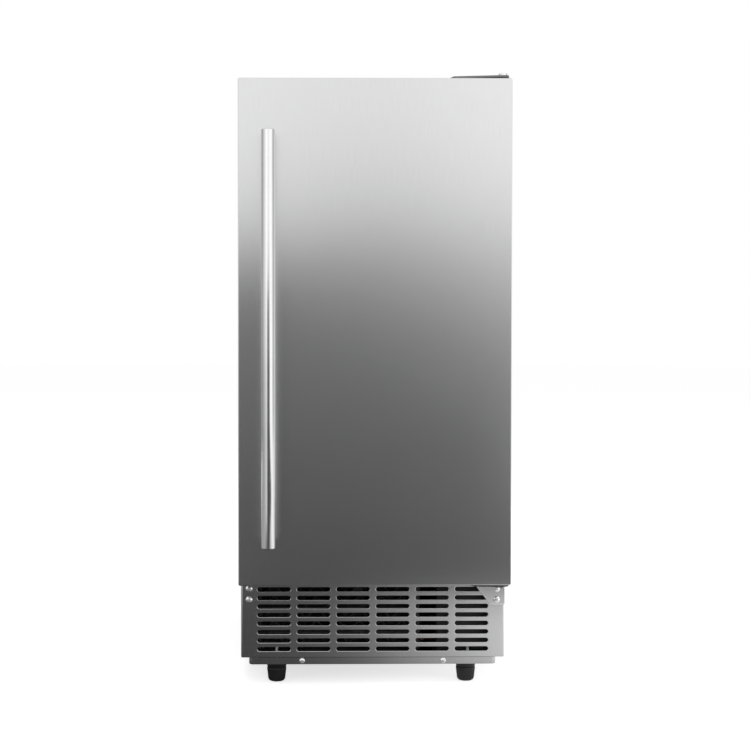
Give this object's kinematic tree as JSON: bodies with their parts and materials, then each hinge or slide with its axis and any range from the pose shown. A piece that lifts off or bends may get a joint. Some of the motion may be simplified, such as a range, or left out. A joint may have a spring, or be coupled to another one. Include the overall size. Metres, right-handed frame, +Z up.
{
  "type": "ice maker",
  "caption": "Under-counter ice maker: insulated cabinet on levelling feet, hinged steel door with a bar handle, front grille, cube mould, ice bin and refrigeration unit.",
  "frame": {"origin": "on the floor, at the middle of the overall footprint (door handle to water connections)", "axes": "+Z up, the door faces -Y, its hinge side is +X"},
  "size_m": [0.378, 0.656, 0.8625],
  "materials": {
    "stainless": "vertically brushed stainless sheet",
    "handle_steel": "fine satin stainless tube",
    "cabinet_steel": "fine-textured dark grey coating",
    "zinc_steel": "galvanised sheet",
    "rail_steel": "dark satin coating",
    "hinge_steel": "dark satin plate",
    "screw_steel": "plated screws",
    "bright_chrome": "polished pins",
    "nickel_plate": "nickel-plated copper mould",
    "copper": "bare copper tube",
    "aluminium": "brazed micro-channel core",
    "white_liner": "vacuum-formed white liner",
    "white_plastic": "moulded white plastic",
    "grey_plastic": "moulded dark grey plastic",
    "black_plastic": "moulded black plastic",
    "foot_plastic": "satin black feet",
    "button_plastic": "satin silver buttons",
    "float_plastic": "white float",
    "curtain_plastic": "pale translucent curtain",
    "clear_tube": "pale tube",
    "silicone": "pale silicone hose",
    "drain_rubber": "dark grey drain hose",
    "black_rubber": "black rubber",
    "gasket_rubber": "grey magnetic gasket",
    "black_enamel": "black enamelled shell",
    "insulation": "polyurethane foam",
    "smoked_window": "smoked display window",
    "lamp_lens": "frosted lens"
  },
  "bodies": {
    "cabinet": {"cabinet_wrapper": "cabinet_steel", "bay_ceiling": "cabinet_steel", "bin_liner": "white_liner", "cabinet_foam": "insulation", "back_panel": "zinc_steel", "service_cover": "zinc_steel", "base_pan": "rail_steel", "vent_grille": "stainless", "panel_screws": "screw_steel", "hinge_screws": "screw_steel", "top_hinge_bracket": "hinge_steel", "lower_hinge_bracket": "hinge_steel", "hinge_pins": "bright_chrome", "leg_sockets": "black_plastic", "evaporator_plate": "nickel_plate", "evaporator_coil": "copper", "evaporator_frame": "white_plastic", "distributor_tube": "clear_tube", "water_trough": "white_plastic", "water_pump": "black_plastic", "pump_hose": "silicone", "ice_level_probe": "copper", "control_housing": "grey_plastic", "display_window": "smoked_window", "light_lens": "lamp_lens", "bin_drain": "grey_plastic", "drain_hose": "drain_rubber", "inlet_valve": "grey_plastic", "inlet_hose": "silicone", "power_gland": "black_plastic", "condenser_tubes": "aluminium", "condenser_fins": "aluminium", "fan_shroud": "black_plastic", "fan_motor": "zinc_steel", "compressor": "black_enamel", "compressor_grommets": "black_rubber", "terminal_cover": "black_plastic", "electrical_box": "zinc_steel", "filter_drier": "copper", "hot_gas_valve": "copper", "liquid_line": "copper", "suction_line": "copper", "discharge_line": "copper"},
    "door": {"door_skin": "stainless", "door_liner": "white_liner", "door_foam": "insulation", "door_gasket": "gasket_rubber", "handle_bar": "handle_steel", "handle_posts": "handle_steel", "hinge_bushes": "black_plastic"},
    "fan": {"fan_blade": "black_plastic"},
    "curtain": {"water_curtain": "curtain_plastic"},
    "float": {"level_float": "float_plastic"},
    "button_power_body": {"button_power": "button_plastic"},
    "button_timer_body": {"button_timer": "button_plastic"},
    "button_clean_body": {"button_clean": "button_plastic"},
    "foot_front_left_body": {"foot_front_left": "foot_plastic"},
    "foot_front_right_body": {"foot_front_right": "foot_plastic"},
    "foot_rear_left_body": {"foot_rear_left": "foot_plastic"},
    "foot_rear_right_body": {"foot_rear_right": "foot_plastic"}
  },
  "joints": [
    {"name": "door_hinge", "type": "hinge", "parent": "cabinet", "child": "door", "pos_m": [0.178, -0.259, 0.5], "axis": [0, 0, 1], "range_deg": [0, 120]},
    {"name": "curtain_swing", "type": "hinge", "parent": "cabinet", "child": "curtain", "pos_m": [0, 0.17, 0.7786], "axis": [-1, 0, 0], "range_deg": [0, 35]},
    {"name": "fan_spin", "type": "hinge", "parent": "cabinet", "child": "fan", "pos_m": [-0.0485, -0.1585, 0.0995], "axis": [0, 1, 0], "continuous": true},
    {"name": "float_rise", "type": "slide", "parent": "cabinet", "child": "float", "axis": [0, 0, 1], "range_m": [0, 0.024]},
    {"name": "button_power_press", "type": "slide", "parent": "cabinet", "child": "button_power_body", "axis": [0, 0.9524, 0.3048], "range_m": [0, 0.0015], "stiffness_N_per_m": 400},
    {"name": "button_timer_press", "type": "slide", "parent": "cabinet", "child": "button_timer_body", "axis": [0, 0.9524, 0.3048], "range_m": [0, 0.0015], "stiffness_N_per_m": 400},
    {"name": "button_clean_press", "type": "slide", "parent": "cabinet", "child": "button_clean_body", "axis": [0, 0.9524, 0.3048], "range_m": [0, 0.0015], "stiffness_N_per_m": 400},
    {"name": "foot_front_left_level", "type": "slide", "parent": "cabinet", "child": "foot_front_left_body", "axis": [0, 0, 1], "range_m": [-0.015, 0]},
    {"name": "foot_front_right_level", "type": "slide", "parent": "cabinet", "child": "foot_front_right_body", "axis": [0, 0, 1], "range_m": [-0.015, 0]},
    {"name": "foot_rear_left_level", "type": "slide", "parent": "cabinet", "child": "foot_rear_left_body", "axis": [0, 0, 1], "range_m": [-0.015, 0]},
    {"name": "foot_rear_right_level", "type": "slide", "parent": "cabinet", "child": "foot_rear_right_body", "axis": [0, 0, 1], "range_m": [-0.015, 0]}
  ]
}
